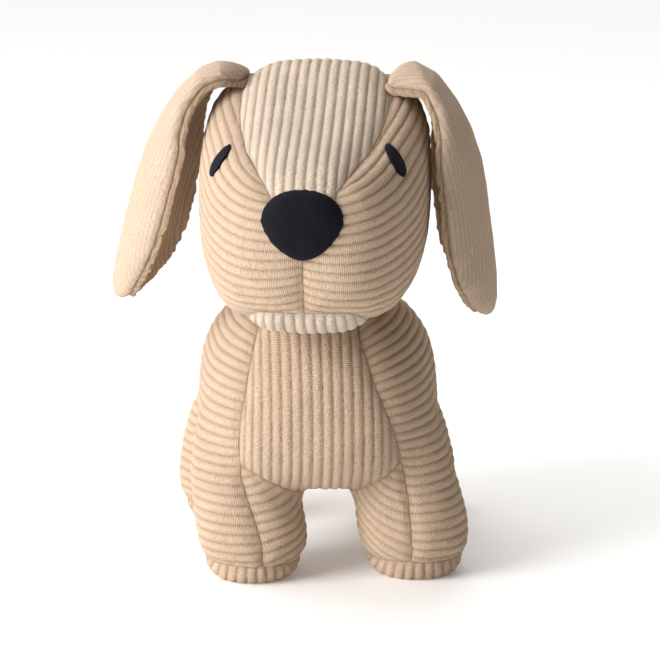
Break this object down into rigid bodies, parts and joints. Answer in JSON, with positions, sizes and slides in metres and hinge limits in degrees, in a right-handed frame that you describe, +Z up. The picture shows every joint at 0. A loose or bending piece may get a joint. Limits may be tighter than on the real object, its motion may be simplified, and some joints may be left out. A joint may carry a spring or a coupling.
{
  "type": "plush dog",
  "caption": "Stuffed toy dog in wide corduroy, standing on four stubby legs, with a big round head, hanging ears, an embroidered nose and eyes, and a short tail.",
  "frame": {"origin": "on the floor, under the middle of the whole object's box", "axes": "+Z up, -Y the way the dog faces, +X the dog's left"},
  "size_m": [0.1928, 0.2888, 0.2647],
  "materials": {
    "corduroy": "wide-wale plush corduroy, beige",
    "crown_corduroy": "wide-wale plush corduroy, light cream",
    "ear_velour": "short velour with faint wales",
    "stuffing": "loose polyester fibre",
    "black_thread": "satin-stitch embroidery thread",
    "label_tape": "smooth woven tape"
  },
  "bodies": {
    "torso": {"body_side_left": "corduroy", "body_side_right": "corduroy", "chest_gusset": "corduroy", "belly_gusset": "corduroy", "inner_leg_front_left": "corduroy", "inner_leg_front_right": "corduroy", "inner_leg_rear_left": "corduroy", "inner_leg_rear_right": "corduroy", "sole_front_left": "corduroy", "sole_front_right": "corduroy", "sole_rear_left": "corduroy", "sole_rear_right": "corduroy", "leg_stuffing_front_left": "stuffing", "leg_stuffing_front_right": "stuffing", "leg_stuffing_rear_left": "stuffing", "leg_stuffing_rear_right": "stuffing", "torso_stuffing": "stuffing", "care_label": "label_tape"},
    "neck": {"neck_stuffing": "stuffing"},
    "head": {"crown_gusset": "crown_corduroy", "head_side_left": "corduroy", "head_side_right": "corduroy", "chin_gusset": "corduroy", "head_stuffing": "stuffing", "nose": "black_thread", "eye_left": "black_thread", "eye_right": "black_thread"},
    "ear_left": {"ear_left_outer": "ear_velour", "ear_left_inner": "corduroy", "ear_left_padding": "stuffing"},
    "ear_right": {"ear_right_outer": "ear_velour", "ear_right_inner": "corduroy", "ear_right_padding": "stuffing"},
    "tail": {"tail_cover_left": "corduroy", "tail_cover_right": "corduroy", "tail_stuffing": "stuffing"}
  },
  "joints": [
    {"name": "head_turn", "type": "hinge", "parent": "torso", "child": "neck", "pos_m": [0.00746, -0.03489, 0.095], "axis": [0, 0, 1], "range_deg": [-15, 15], "stiffness_Nm_per_rad": 2},
    {"name": "head_nod", "type": "hinge", "parent": "neck", "child": "head", "pos_m": [0.00746, -0.03489, 0.095], "axis": [0.989, -0.1478, 0], "range_deg": [-5, 8], "stiffness_Nm_per_rad": 4, "springref_deg": -0.46},
    {"name": "ear_left_lift", "type": "hinge", "parent": "head", "child": "ear_left", "pos_m": [0.05018, -0.0433, 0.2605], "axis": [-0.1478, -0.989, 0], "range_deg": [0, 95]},
    {"name": "ear_right_lift", "type": "hinge", "parent": "head", "child": "ear_right", "pos_m": [-0.03586, -0.03044, 0.2605], "axis": [0.1478, 0.989, 0], "range_deg": [0, 85]},
    {"name": "tail_wag", "type": "hinge", "parent": "torso", "child": "tail", "pos_m": [0.01416, 0.09861, 0.106], "axis": [0, 0, 1], "range_deg": [-25, 25], "stiffness_Nm_per_rad": 0.3}
  ]
}
